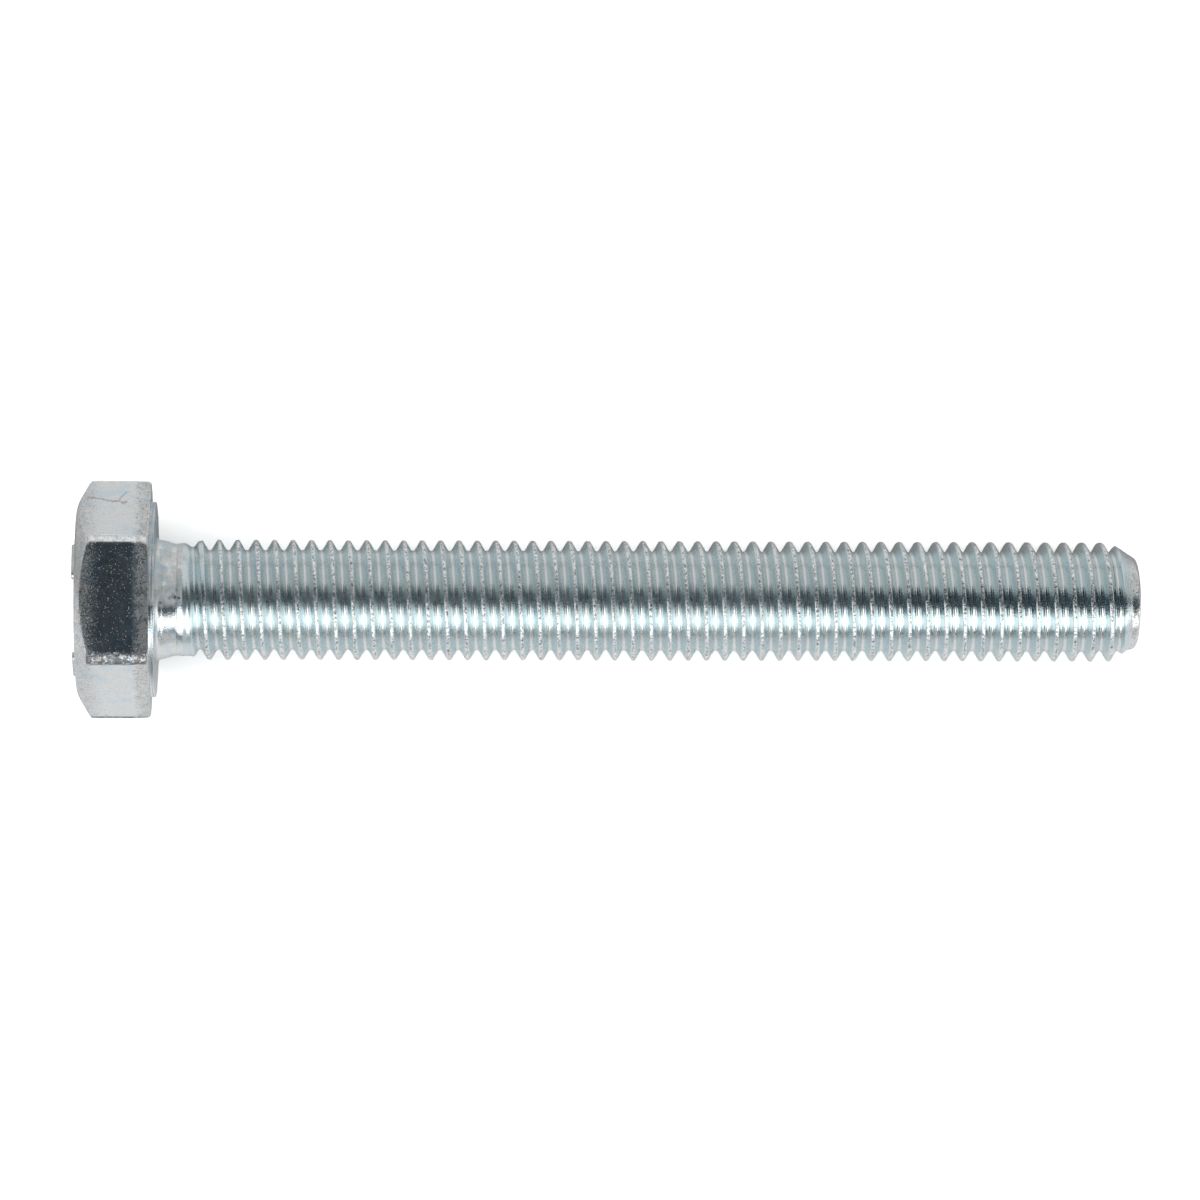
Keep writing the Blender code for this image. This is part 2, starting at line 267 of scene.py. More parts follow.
def ease(share):
    """A smooth rise from 0 to 1."""
    share = min(max(share, 0.0), 1.0)
    return share * share * (3.0 - 2.0 * share)


def bell(distance, width):
    """1 in the middle, falling away over about this width."""
    return math.exp(-((distance / width) ** 2))


def on_axis(x, radius, angle):
    return (x, radius * math.cos(angle), radius * math.sin(angle))


def between(first, last, steps):
    """Evenly spaced points (x, radius) from first up to last, without last."""
    points = []
    for step in range(steps):
        share = step / steps
        points.append(tuple(a + (b - a) * share for a, b in zip(first, last)))
    return points


def arc(centre_x, centre_radius, radius, first, last, steps):
    """Points (x, radius) along an arc, without its last. Angles are from +X, outwards."""
    points = []
    for step in range(steps):
        angle = first + (last - first) * step / steps
        points.append((centre_x + radius * math.cos(angle), centre_radius + radius * math.sin(angle)))
    return points


def rounded_edge(before, edge, after, steps):
    """Points along a soft curve that leaves before, heads for the edge and arrives at after."""
    points = []
    for step in range(steps):
        t = step / steps
        weights = ((1 - t) ** 2, 2 * t * (1 - t), t * t)
        x = sum(w * p[0] for w, p in zip(weights, (before, edge, after)))
        radius = sum(w * p[1] for w, p in zip(weights, (before, edge, after)))
        points.append((x, radius))
    return points


def lumps(place, size, seed):
    """Smooth unevenness between about -1 and 1, with lumps of this size."""
    return noise.noise(Vector(place) / size + Vector((seed, 0.0, 0.0)))


def closed_rings(columns):
    """Vertices and faces of a solid skinned over columns of points that all have one length.

    Each column starts and ends on the axis, where all of them share one point.
    """
    rows = len(columns[0])
    count = len(columns)
    vertices = [columns[0][0]]
    for column in columns:
        vertices.extend(column[1:-1])
    vertices.append(columns[0][-1])
    last = len(vertices) - 1
    inner = rows - 2
    faces = []
    for number in range(count):
        here = 1 + number * inner
        beside = 1 + (number + 1) % count * inner
        faces.append((0, beside, here))
        for row in range(inner - 1):
            faces.append((here + row, beside + row, beside + row + 1, here + row + 1))
        faces.append((here + inner - 1, beside + inner - 1, last))
    return vertices, faces


def piece(name, vertices, faces, material, slot, *nodes):
    """A finished piece that rides on the bolt and stands for these CAD nodes."""
    mesh = bpy.data.meshes.new(name)
    mesh.from_pydata(vertices, [], faces)
    mesh.validate()
    mesh.materials.append(material)
    mesh.shade_smooth()
    mesh.set_sharp_from_angle(angle=SHARP_ANGLE)
    obj = bpy.data.objects.new(name, mesh)
    bpy.context.scene.collection.objects.link(obj)
    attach(obj, "root")
    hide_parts(*nodes)
    return obj


# ---------------------------------------------------------------- pieces


def hexagon_outline(flat_steps, corner_steps):
    """Points (radius, angle) around the hexagon with its rounded corners."""
    outline = []
    half_side = CORNER_DISTANCE / 2
    for corner in range(6):
        direction = corner * math.pi / 3
        for step in range(corner_steps):
            angle = direction + math.pi / 3 * (step / corner_steps - 0.5)
            y = CORNER_DISTANCE * math.cos(direction) + HEAD_CORNER_RADIUS * math.cos(angle)
            z = CORNER_DISTANCE * math.sin(direction) + HEAD_CORNER_RADIUS * math.sin(angle)
            outline.append((math.hypot(y, z), math.atan2(z, y)))
        facing = direction + math.pi / 6
        for step in range(flat_steps):
            along = half_side * (2 * step / flat_steps - 1)
            y = HALF_FLATS * math.cos(facing) - along * math.sin(facing)
            z = HALF_FLATS * math.sin(facing) + along * math.cos(facing)
            outline.append((math.hypot(y, z), math.atan2(z, y)))
    return outline


def underside_x(radius):
    """Where the head's underside is at this distance from the axis: its rim is turned round."""
    past = radius - (CORNER_DISTANCE + HEAD_CORNER_RADIUS + BLANK_MARGIN - UNDERSIDE_ROUNDING)
    if past <= 0:
        return UNDERSIDE_X
    return UNDERSIDE_X - UNDERSIDE_ROUNDING + math.sqrt(UNDERSIDE_ROUNDING**2 - past**2)


def head_column(radius):
    """The head's outline from the middle of its end to the middle of its underside.

    radius is how far the hexagon reaches in this direction.
    """
    edge = ((radius - CHAMFER_CIRCLE) * math.tan(CHAMFER_ANGLE), radius)
    before = (edge[0] - ARRIS * math.sin(CHAMFER_ANGLE), edge[1] - ARRIS * math.cos(CHAMFER_ANGLE))
    after = (edge[0] + ARRIS, radius)
    turn = math.pi - CHAMFER_ANGLE
    cone_start = (
        END_ROUNDING + END_ROUNDING * math.cos(turn),
        FLAT_END_RADIUS + END_ROUNDING * math.sin(turn),
    )
    corner = (underside_x(radius), radius)
    side_end = (corner[0] - UNDERSIDE_EDGE, radius)
    foot_radius = radius - UNDERSIDE_EDGE
    foot = (underside_x(foot_radius), foot_radius)
    column = between((0.0, 0.0), (0.0, FLAT_END_RADIUS), steps=14)
    column += arc(END_ROUNDING, FLAT_END_RADIUS, END_ROUNDING, math.pi, turn, steps=8)
    column += between(cone_start, before, steps=7)
    column += rounded_edge(before, edge, after, steps=5)
    column += between(after, side_end, steps=30)
    column += rounded_edge(side_end, corner, foot, steps=6)
    turned_steps = 8
    for step in range(turned_steps):
        reach = foot_radius - UNDERSIDE_ROUNDING * step / turned_steps
        column.append((underside_x(reach), reach))
    flat_start = (UNDERSIDE_X, foot_radius - UNDERSIDE_ROUNDING)
    column += between(flat_start, (UNDERSIDE_X, 0.0), steps=5)
    column.append((UNDERSIDE_X, 0.0))
    return column


def forged(point, radius):
    """Moves a point of the head in or out: the die's faint step, and small unevenness.

    radius is how far the hexagon reaches in this direction. The underside stays flat, and points
    on the axis stay where they are.
    """
    x, y, z = point
    reach = math.hypot(y, z)
    if reach < 0.1 * MM or x > UNDERSIDE_X - 0.01 * MM:
        return point
    step = ease((x - FORGING_LINE_X) / FORGING_LINE_WIDTH + 0.5)
    on_side = ease((reach / radius - FLAT_START) / FLAT_FADE)
    relief = lumps(point, COARSE_LUMPS, seed=3.0) + 0.5 * lumps(point, FINE_LUMPS, seed=11.0)
    inward = FORGING_STEP * step * on_side - FORGING_RELIEF * relief * on_side
    share = 1.0 - inward / reach
    end = FORGING_RELIEF * END_RELIEF_SHARE * relief * (1.0 - on_side)
    return (x + max(end, 0.0), y * share, z * share)


def make_hexagon(material):
    """The forged hexagon: its end, chamfer, six flats and underside."""
    columns = []
    for radius, angle in hexagon_outline(flat_steps=26, corner_steps=10):
        column = head_column(radius)
        points = [on_axis(x, reach, angle) for x, reach in column]
        columns.append([forged(point, radius) for point in points])
    vertices, faces = closed_rings(columns)
    return piece("hexagon", vertices, faces, material, "zinc_plated_head", "hex_head")


def bar_levels():
    """A bar's outline from its foot to its top: places along X, and half of its width there."""
    half = BAR_WIDTH / 2
    levels = [(0.0, half), (-BAR_HEIGHT + BAR_EDGE, half - BAR_DRAFT)]
    edge_steps = 4
    for step in range(1, edge_steps + 1):
        bend = math.pi / 2 * step / edge_steps
        x = -BAR_HEIGHT + BAR_EDGE * (1 - math.sin(bend))
        levels.append((x, half - BAR_DRAFT - BAR_EDGE * (1 - math.cos(bend))))
    levels.append((-BAR_HEIGHT, half * 0.3))  # inside the flat top
    return levels


def bar_point(x, width, angle, number):
    """A slightly uneven point of a bar, at this angle around it and with round ends."""
    middle = FLAT_END_RADIUS - BAR_RIM_GAP - BAR_WIDTH / 2
    reach = (BAR_LENGTH - BAR_WIDTH) / 2
    turn = FIRST_BAR_ANGLE + math.tau * (number - 1) / BAR_COUNT
    side = reach if math.sin(angle) >= 0 else -reach
    y = middle + width * math.cos(angle)
    z = side + width * math.sin(angle)
    y += BAR_RELIEF * lumps((x, y * 3, z * 3), 1.5 * MM, seed=number)
    lift = BAR_RELIEF * lumps((y, z, number * MM), 0.8 * MM, seed=5.0) if x < 0 else 0.0
    turned_y = y * math.cos(turn) - z * math.sin(turn)
    turned_z = y * math.sin(turn) + z * math.cos(turn)
    return (x + abs(lift), turned_y, turned_z)


def make_bar(number, material):
    """One plain raised bar with round ends and soft edges, lying across its radius."""
    vertices = []
    for x, width in bar_levels():
        for step in range(BAR_SEGMENTS):
            angle = math.tau * step / BAR_SEGMENTS
            vertices.append(bar_point(x, width, angle, number))
    faces = []
    top = len(vertices) - BAR_SEGMENTS
    for level in range(0, top, BAR_SEGMENTS):
        for step in range(BAR_SEGMENTS):
            here = level + step
            beside = level + (step + 1) % BAR_SEGMENTS
            faces.append((here, beside, beside + BAR_SEGMENTS, here + BAR_SEGMENTS))
    faces.append(tuple(reversed(range(BAR_SEGMENTS))))
    faces.append(tuple(range(top, top + BAR_SEGMENTS)))
    name = f"raised_bar_{number}"
    return piece(name, vertices, faces, material, "zinc_plated_head", f"head_bar_{number}")


def turned_columns(profile, shape):
    """Columns of a turned piece. shape moves each radius a little: shape(x, radius, angle)."""
    columns = []
    for number in range(TURNED_SEGMENTS):
        angle = math.tau * number / TURNED_SEGMENTS
        columns.append([on_axis(x, shape(x, radius, angle), angle) for x, radius in profile])
    return columns


def make_washer_ring(material):
    """The round step under the hexagon, with a fine groove around its edge."""
    rim = WASHER_RADIUS
    edge = WASHER_EDGE
    corner = (BEARING_X, rim)
    side_end = (BEARING_X - edge, rim)
    face_start = (BEARING_X, rim - edge)
    profile = between((UNDERSIDE_X, 0.0), (UNDERSIDE_X, rim), steps=4)
    profile += between((UNDERSIDE_X, rim), side_end, steps=6)
    profile += rounded_edge(side_end, corner, face_start, steps=5)
    profile += between(face_start, (BEARING_X, 0.0), steps=16)
    profile.append((BEARING_X, 0.0))

    def shape(x, radius, angle):
        if radius < rim * 0.98:
            return radius  # the flat faces
        from_groove = x - (UNDERSIDE_X + WASHER_GROOVE_PLACE)
        groove = WASHER_GROOVE * bell(from_groove, WASHER_GROOVE_WIDTH)
        relief = WASHER_RELIEF * lumps(on_axis(x, radius, angle), 1.6 * MM, seed=7.0)
        return radius - groove + relief

    vertices, faces = closed_rings(turned_columns(profile, shape))
    return piece("washer_ring", vertices, faces, material, "zinc_plated_neck", "washer_face")


def neck_radius(x):
    """The neck's radius: its taper, the fine line at the taper's foot and the ridge beside it."""
    rise = 1.0 - ease((x - TAPER_X) / NECK_TAPER_LENGTH)
    foot = TAPER_X + NECK_TAPER_LENGTH
    ridge = NECK_RIDGE * bell(x - THREAD_START_X, NECK_RIDGE_WIDTH)
    line = NECK_LINE * bell(x - foot, NECK_LINE_WIDTH)
    return NECK_RADIUS + NECK_TAPER_RISE * rise + ridge - line


def make_neck(material):
    """The plain neck: a fillet at the head, then a slight taper down to the thread."""
    fillet_radius = NECK_TOP_RADIUS + UNDERHEAD_FILLET
    quarter = (math.pi, 1.5 * math.pi)
    profile = between((BEARING_X, 0.0), (BEARING_X, fillet_radius), steps=4)
    profile += arc(TAPER_X, fillet_radius, UNDERHEAD_FILLET, *quarter, steps=10)
    steps = 44
    for step in range(steps + 1):
        x = TAPER_X + (THREAD_START_X - TAPER_X) * step / steps
        profile.append((x, neck_radius(x)))
    profile.append((THREAD_START_X, 0.0))

    def shape(x, radius, angle):
        if radius < NECK_RADIUS * 0.9 or x >= THREAD_START_X or x <= BEARING_X:
            return radius  # the flat faces
        calm = ease((THREAD_START_X - x) / NECK_CALM)
        return radius + NECK_RELIEF * calm * lumps(on_axis(x, radius, angle), 1.8 * MM, seed=9.0)

    vertices, faces = closed_rings(turned_columns(profile, shape))
    return piece("neck", vertices, faces, material, "zinc_plated_neck", "plain_neck")


def thread_offsets():
    """Places along one pitch, from crest to crest, where the surface has points.

    Two close points at each end of a flank keep its shading straight up to the rounding.
    """
    crest = CREST_ROUNDING * math.cos(FLANK_ANGLE)
    root = PITCH / 2 - ROOT_ROUNDING * math.cos(FLANK_ANGLE)
    gap = 0.015 * MM
    half = [0.0, 0.05 * MM, 0.1 * MM, crest * 0.85, crest, crest + gap, (crest + root) / 2]
    half += [root - gap, root, root + 0.08 * MM, PITCH / 2]
    return half + [PITCH - place for place in reversed(half[1:-1])]


def full_thread_radius(from_crest):
    """The thread's outline: round crests, straight flanks and round roots."""
    from_root = PITCH / 2 - from_crest
    if from_crest < CREST_ROUNDING * math.cos(FLANK_ANGLE):
        middle = CREST_RADIUS - CREST_ROUNDING
        return middle + math.sqrt(CREST_ROUNDING**2 - from_crest**2)
    if from_root < ROOT_ROUNDING * math.cos(FLANK_ANGLE):
        middle = ROOT_RADIUS + ROOT_ROUNDING
        return middle - math.sqrt(ROOT_ROUNDING**2 - from_root**2)
    return SHARP_CREST - FLANK_SLOPE * from_crest


def point_radius(x, angle):
    """How far the point's blank reaches: a cone, then a blunt end that was pressed unevenly."""
    from_tip = TIP_X - x
    cone = POINT_FACE_RADIUS + from_tip * math.tan(POINT_ANGLE)
    uneven = min(1.0 - math.cos(angle), 1.0)
    land = POINT_FACE_RADIUS + LAND_STEP * uneven + from_tip * math.tan(LAND_ANGLE)
    dent = LAND_DENT * uneven * bell(from_tip - LAND_LENGTH, LAND_DENT_WIDTH)
    past = max(POINT_RIM - from_tip, 0.0)
    trimmed = POINT_RIM - math.sqrt(POINT_RIM**2 - past**2)
    return max(land, cone) - dent - trimmed


def softly_least(first, second, width):
    """The smaller of two lengths, with a round change from one to the other."""
    share = min(max(0.5 + 0.5 * (second - first) / width, 0.0), 1.0)
    return second + (first - second) * share - width * share * (1.0 - share)


def thread_radius(x, angle, seam_share):
    """How far the thread's surface is from the axis.

    seam_share is how deep the fold along the crest is here, as a share of SEAM_DEPTH.
    """
    turns = (x - FIRST_CREST_X) / PITCH - angle / math.tau
    full = full_thread_radius(abs(turns - round(turns)) * PITCH) - SEAM_DEPTH * seam_share
    start = NECK_RADIUS + NECK_RIDGE * bell(x - THREAD_START_X, NECK_RIDGE_WIDTH)
    # The dies sink the groove first, and the metal that they push aside then builds the crests.
    sunk = ease((x - THREAD_START_X - GROOVE_START) / GROOVE_RUNOUT)
    built = ease((x - THREAD_START_X - CREST_START) / CREST_RUNOUT)
    top = start + (CREST_RADIUS - start) * built
    radius = min(full, top) if full > start else start + (full - start) * sunk
    return softly_least(radius, point_radius(x, angle), POINT_SOFTNESS)


def unrolled(turn, share_around, share_along, map_rows):
    """Where a point goes on the unrolled thread: each row of the map holds two turns."""
    filled = 1 - 2 * MAP_MARGIN
    u = (turn % 2 + MAP_MARGIN + filled * share_around) / 2
    v = (turn // 2 + MAP_MARGIN + filled * share_along) / map_rows
    return (u, v)


def seam(spot):
    """The fold near a spot on the crest: how far it wanders, its depth, and that of its sides."""
    wander = SEAM_WANDER * lumps(spot, 0.5 * MM, seed=21.0)
    depth = 0.55 + 0.9 * lumps(spot, 0.35 * MM, seed=33.0)
    at_sides = 0.35 * lumps(spot, 0.3 * MM, seed=45.0)
    return wander, max(depth, 0.0), max(at_sides, 0.0)


def thread_column(segment, turns, start_x, end_x, vertices):
    """Adds a line of points along the thread to vertices, and returns their numbers.

    All points that would lie past one of the two planes share a single point on it.
    """
    offsets = thread_offsets()
    angle = math.tau * segment / THREAD_SEGMENTS
    column = []
    last_x = None
    for turn in turns:
        crest_x = FIRST_CREST_X + (turn + segment / THREAD_SEGMENTS) * PITCH
        wander, depth, depth_at_sides = seam(on_axis(crest_x, CREST_RADIUS, angle))
        shifts = {0: wander, 1: wander, len(offsets) - 1: wander}
        depths = {0: depth, 1: depth_at_sides, len(offsets) - 1: depth_at_sides}
        for number, offset in enumerate(offsets):
            x = min(max(crest_x + offset + shifts.get(number, 0.0), start_x), end_x)
            if x != last_x:
                radius = thread_radius(x, angle, depths.get(number, 0.0))
                vertices.append(on_axis(x, radius, angle))
            column.append(len(vertices) - 1)
            last_x = x
    return column


def thread_faces(columns, map_rows):
    """Faces between the thread's columns, and each corner's place on the unrolled thread."""
    offsets = thread_offsets()
    borders = [offset / PITCH for offset in offsets] + [1.0]
    faces = []
    spots_on_map = []
    for segment, column in enumerate(columns):
        beside = columns[(segment + 1) % THREAD_SEGMENTS]
        if segment == THREAD_SEGMENTS - 1:
            # After a full turn the helix has moved on by one pitch.
            beside = beside[len(offsets):] + beside[-1:] * len(offsets)
        here = segment / THREAD_SEGMENTS
        there = (segment + 1) / THREAD_SEGMENTS
        for row in range(len(column) - 1):
            turn, step = divmod(row, len(offsets))
            near, far = borders[step], borders[step + 1]
            corners = {
                column[row]: (turn, here, near),
                beside[row]: (turn, there, near),
                beside[row + 1]: (turn, there, far),
                column[row + 1]: (turn, here, far),
            }
            if len(corners) > 2:
                faces.append(tuple(corners))
                spots_on_map.extend(unrolled(*corner, map_rows) for corner in corners.values())
    return faces, spots_on_map


def disc_on_map(turn, map_rows):
    """Places on the unrolled thread for the corners of an end face, in one turn's field."""
    spots_on_map = []
    for count in range(THREAD_SEGMENTS):
        angle = math.tau * count / THREAD_SEGMENTS
        across = 0.5 + MAP_DISC * math.cos(angle)
        along = 0.5 + MAP_DISC * math.sin(angle)
        spots_on_map.append(unrolled(turn, across, along, map_rows))
    return spots_on_map


def make_threaded(name, start_x, end_x, material, node):
    """A stretch of thread between two planes. Its rows of points follow the helix.

    It carries its own map for baked materials, on which it is unrolled turn by turn.
    """
    first_turn = math.floor((start_x - FIRST_CREST_X) / PITCH) - TURNS_PAST_END
    last_turn = math.ceil((end_x - FIRST_CREST_X) / PITCH) + TURNS_PAST_END
    turns = range(first_turn, last_turn)
    vertices = []
    columns = []
    for segment in range(THREAD_SEGMENTS):
        columns.append(thread_column(segment, turns, start_x, end_x, vertices))
    map_rows = len(turns) // 2 + 2
    faces, spots_on_map = thread_faces(columns, map_rows)
    faces.append(tuple(column[0] for column in columns))
    faces.append(tuple(column[-1] for column in reversed(columns)))
    # The map's last row holds the two end faces.
    for field in (2 * map_rows - 2, 2 * map_rows - 1):
        spots_on_map.extend(disc_on_map(field, map_rows))
    obj = piece(name, vertices, faces, material, "zinc_plated_thread", node)
    layer = obj.data.uv_layers.new(name="OFBake")
    layer.uv.foreach_set("vector", [number for spot in spots_on_map for number in spot])
    return obj


# ---------------------------------------------------------------- materials


class Nodes:
    """Short ways to add shader nodes to one tree."""

    def __init__(self, tree):
        self.tree = tree

    def add(self, kind, **settings):
        node = self.tree.nodes.new(kind)
        for name, value in settings.items():
            setattr(node, name, value)
        return node

    def plug(self, socket, value):
        if isinstance(value, bpy.types.NodeSocket):
            self.tree.links.new(value, socket)
        else:
            socket.default_value = value

    def maths(self, operation, first, second=0.0):
        node = self.add("ShaderNodeMath", operation=operation)
        self.plug(node.inputs[0], first)
        self.plug(node.inputs[1], second)
        return node.outputs[0]

    def plus(self, first, second):
        return self.maths("ADD", first, second)

    def minus(self, first, second):
        return self.maths("SUBTRACT", first, second)

    def times(self, first, second):
        return self.maths("MULTIPLY", first, second)

    def larger(self, first, second):
        return self.maths("MAXIMUM", first, second)

    def place(self):
        """Where the surface is, in millimetres."""
        coordinates = self.add("ShaderNodeTexCoord")
        scaled = self.add("ShaderNodeVectorMath", operation="SCALE")
        self.plug(scaled.inputs[0], coordinates.outputs["Object"])
        scaled.inputs["Scale"].default_value = 1 / MM
        return scaled.outputs[0]

    def parts(self, vector):
        node = self.add("ShaderNodeSeparateXYZ")
        self.plug(node.inputs[0], vector)
        return node.outputs[0], node.outputs[1], node.outputs[2]

    def from_axis(self, y, z):
        """How far the surface is from the bolt's axis, in millimetres."""
        squares = self.plus(self.times(y, y), self.times(z, z))
        return self.maths("SQRT", squares)

    def stretched(self, vector, x, y, z):
        node = self.add("ShaderNodeVectorMath", operation="MULTIPLY")
        self.plug(node.inputs[0], vector)
        node.inputs[1].default_value = (x, y, z)
        return node.outputs[0]

    def noise(self, vector, scale, detail, roughness, distortion=0.0):
        """Noise around 0.5. scale is about how many lumps of it fit into a millimetre."""
        node = self.add("ShaderNodeTexNoise")
        self.plug(node.inputs["Vector"], vector)
        node.inputs["Scale"].default_value = scale
        node.inputs["Detail"].default_value = detail
        node.inputs["Roughness"].default_value = roughness
        node.inputs["Distortion"].default_value = distortion
        return node.outputs["Fac"]

    def centred(self, value):
        """Noise around 0, so that a mask that fades it out leaves no step."""
        return self.minus(value, 0.5)

    def cells(self, vector, scale):
        """Distance to the nearest of many scattered points, and that point's own random value."""
        node = self.add("ShaderNodeTexVoronoi")
        self.plug(node.inputs["Vector"], vector)
        node.inputs["Scale"].default_value = scale
        own = self.parts(node.outputs["Color"])[0]
        return node.outputs["Distance"], own

    def rise(self, value, start, end, low=0.0, high=1.0):
        """Goes smoothly from low at start to high at end."""
        node = self.add("ShaderNodeMapRange", interpolation_type="SMOOTHSTEP")
        self.plug(node.inputs["Value"], value)
        for name, number in (("From Min", start), ("From Max", end), ("To Min", low), ("To Max", high)):
            node.inputs[name].default_value = number
        return node.outputs["Result"]

    def blend(self, share, first, second):
        """A colour between two colours."""
        node = self.add("ShaderNodeMix", data_type="RGBA")
        self.plug(node.inputs["Factor"], share)
        for name, colour in (("A", first), ("B", second)):
            computed = isinstance(colour, bpy.types.NodeSocket)
            self.plug(node.inputs[name], colour if computed else (*colour, 1.0))
        return node.outputs["Result"]

    def paint(self, colour, mask, strength, coat):
        """The colour with a coat of another one where the mask is, at this strength."""
        return self.blend(self.times(mask, strength), colour, coat)

    def bump(self, height, distance, normal=None):
        """Height from 0 to 1 raises the surface by up to this distance."""
        node = self.add("ShaderNodeBump")
        self.plug(node.inputs["Height"], height)
        node.inputs["Distance"].default_value = distance
        if normal is not None:
            self.plug(node.inputs["Normal"], normal)
        return node.outputs["Normal"]


def metal(name):
    """A new metallic material: its nodes and its shader."""
    material = bpy.data.materials.new(name)
    material.use_nodes = True
    nodes = Nodes(material.node_tree)
    shader = material.node_tree.nodes["Principled BSDF"]
    shader.inputs["Metallic"].default_value = 1.0
    return material, nodes, shader


def spots(nodes, place, scale, share, size):
    """1 in small round spots: this share of the scattered points has one, of this size."""
    distance, own = nodes.cells(place, scale)
    round_spot = nodes.rise(distance, size, size * 0.45)
    chosen = nodes.maths("LESS_THAN", own, share)
    return nodes.times(round_spot, chosen)


def passivated(nodes, place):
    """Zinc's colour: a light grey with pale blue and straw-coloured clouds."""
    clouds = nodes.noise(place, 0.5, 5.0, 0.65, 0.8)
    blue_share = nodes.rise(clouds, 0.48, 0.62, 0.0, 0.9)
    tinted = nodes.blend(blue_share, ZINC_GREY, ZINC_BLUE)
    specks = nodes.noise(place, 2.2, 4.0, 0.65)
    straw_share = nodes.rise(specks, 0.56, 0.72, 0.0, 0.7)
    return nodes.blend(straw_share, tinted, ZINC_STRAW)


def cracks(nodes, x, y, z):
    """1 inside two fine cracks in the flat between the +Y corner and the +Z flat, 0 elsewhere."""
    near_side = nodes.maths("GREATER_THAN", z, 0.0)
    place = nodes.add("ShaderNodeCombineXYZ")
    nodes.plug(place.inputs[0], x)
    nodes.plug(place.inputs[1], y)
    wander = nodes.noise(place.outputs[0], 1.1, 5.0, 0.6)
    shares = []
    for start_x, end_x, start_y, slope in CRACKS:
        along = nodes.minus(x, start_x)
        path = nodes.plus(nodes.times(along, slope), start_y - 0.5 * CRACK_WANDER)
        path = nodes.plus(path, nodes.times(wander, CRACK_WANDER))
        away = nodes.maths("ABSOLUTE", nodes.minus(y, path))
        inside = nodes.rise(away, *CRACK_EDGE)
        started = nodes.rise(x, start_x, start_x + CRACK_FADE)
        unfinished = nodes.rise(x, end_x, end_x - CRACK_FADE)
        shares.append(nodes.times(inside, nodes.times(started, unfinished)))
    either = nodes.larger(shares[0], shares[1])
    return nodes.times(either, near_side)


def head_wear(nodes, place, radius, crumbs):
    """Where the head is worn: close to its end and underside, and on the battered -Y corner.

    The second mask is that corner alone.
    """
    x, y, z = nodes.parts(place)
    frayed = nodes.plus(radius, nodes.times(nodes.centred(crumbs), 0.3))
    battered = nodes.times(nodes.rise(frayed, *CORNER_WEAR), nodes.rise(y, *TO_MINUS_SIDE))
    waves = nodes.centred(nodes.noise(place, 1.3, 5.0, 0.7))
    ragged = nodes.plus(x, nodes.times(waves, 2.0))
    near_ends = nodes.larger(nodes.rise(x, *END_WEAR), nodes.rise(ragged, *STRIP_WEAR))
    return nodes.larger(near_ends, battered), battered


def forged_zinc(name):
    """The head: bright zinc over a forged surface, with specks, pits and frosted edges."""
    material, nodes, shader = metal(name)
    place = nodes.place()
    x, y, z = nodes.parts(place)
    radius = nodes.from_axis(y, z)
    crumbs = nodes.noise(place, 2.4, 5.0, 0.7)
    worn, battered = head_wear(nodes, place, radius, crumbs)
    dust = nodes.rise(nodes.noise(place, 8.0, 4.0, 0.75), 0.5, 0.62)
    mottle = nodes.rise(nodes.noise(place, 1.6, 6.0, 0.8), 0.36, 0.66)
    pits = spots(nodes, place, 2.6, 0.25, 0.24)
    specks = spots(nodes, place, 8.5, 0.13, 0.5)
    cracked = cracks(nodes, x, y, z)

    # Colour: zinc, then what has worn, darkened or polished it
    colour = passivated(nodes, place)
    worn_share = nodes.times(worn, nodes.plus(nodes.times(mottle, 0.35), 0.1))
    colour = nodes.blend(worn_share, colour, WORN_GREY)
    dust_share = nodes.times(dust, nodes.plus(nodes.times(worn, 0.45), 0.2))
    colour = nodes.blend(dust_share, colour, HEAD_DUST)
    colour = nodes.paint(colour, pits, 0.5, PIT_BROWN)
    dents = nodes.times(battered, nodes.rise(crumbs, 0.58, 0.49))
    colour = nodes.paint(colour, dents, 0.85, DENT_GREY)
    burnished = nodes.times(nodes.rise(radius, *CORNER_SHINE), nodes.rise(y, *TO_PLUS_SIDE))
    burnished = nodes.times(burnished, nodes.rise(crumbs, 0.4, 0.55))
    colour = nodes.blend(burnished, colour, ZINC_BURNISHED)
    colour = nodes.paint(colour, cracked, 0.6, CRACK_BROWN)
    nodes.plug(shader.inputs["Base Color"], colour)

    # Roughness: frosted where it is worn, with dull specks everywhere
    rough = nodes.rise(mottle, 0.0, 1.0, 0.14, 0.18)
    frost = nodes.plus(nodes.times(dust, 0.34), nodes.times(mottle, 0.1))
    rough = nodes.plus(rough, nodes.times(worn, nodes.plus(frost, 0.07)))
    rough = nodes.plus(rough, nodes.times(specks, 0.26))
    rough = nodes.plus(rough, nodes.times(dust, 0.05))
    nodes.plug(shader.inputs["Roughness"], rough)

    # Relief too fine for the mesh: grain, the battered corner, specks, and pits and cracks
    fine = nodes.centred(nodes.noise(place, 7.0, 4.0, 0.65))
    strength = nodes.plus(0.25, nodes.times(worn, 0.75))
    normal = nodes.bump(nodes.times(fine, strength), 0.018 * MM)
    normal = nodes.bump(nodes.times(nodes.centred(crumbs), battered), 0.1 * MM, normal)
    normal = nodes.bump(specks, 0.0015 * MM, normal)
    sunk = nodes.larger(nodes.times(pits, 0.3), cracked)
    normal = nodes.bump(nodes.minus(1.0, sunk), 0.02 * MM, normal)
    nodes.plug(shader.inputs["Normal"], normal)
    return material


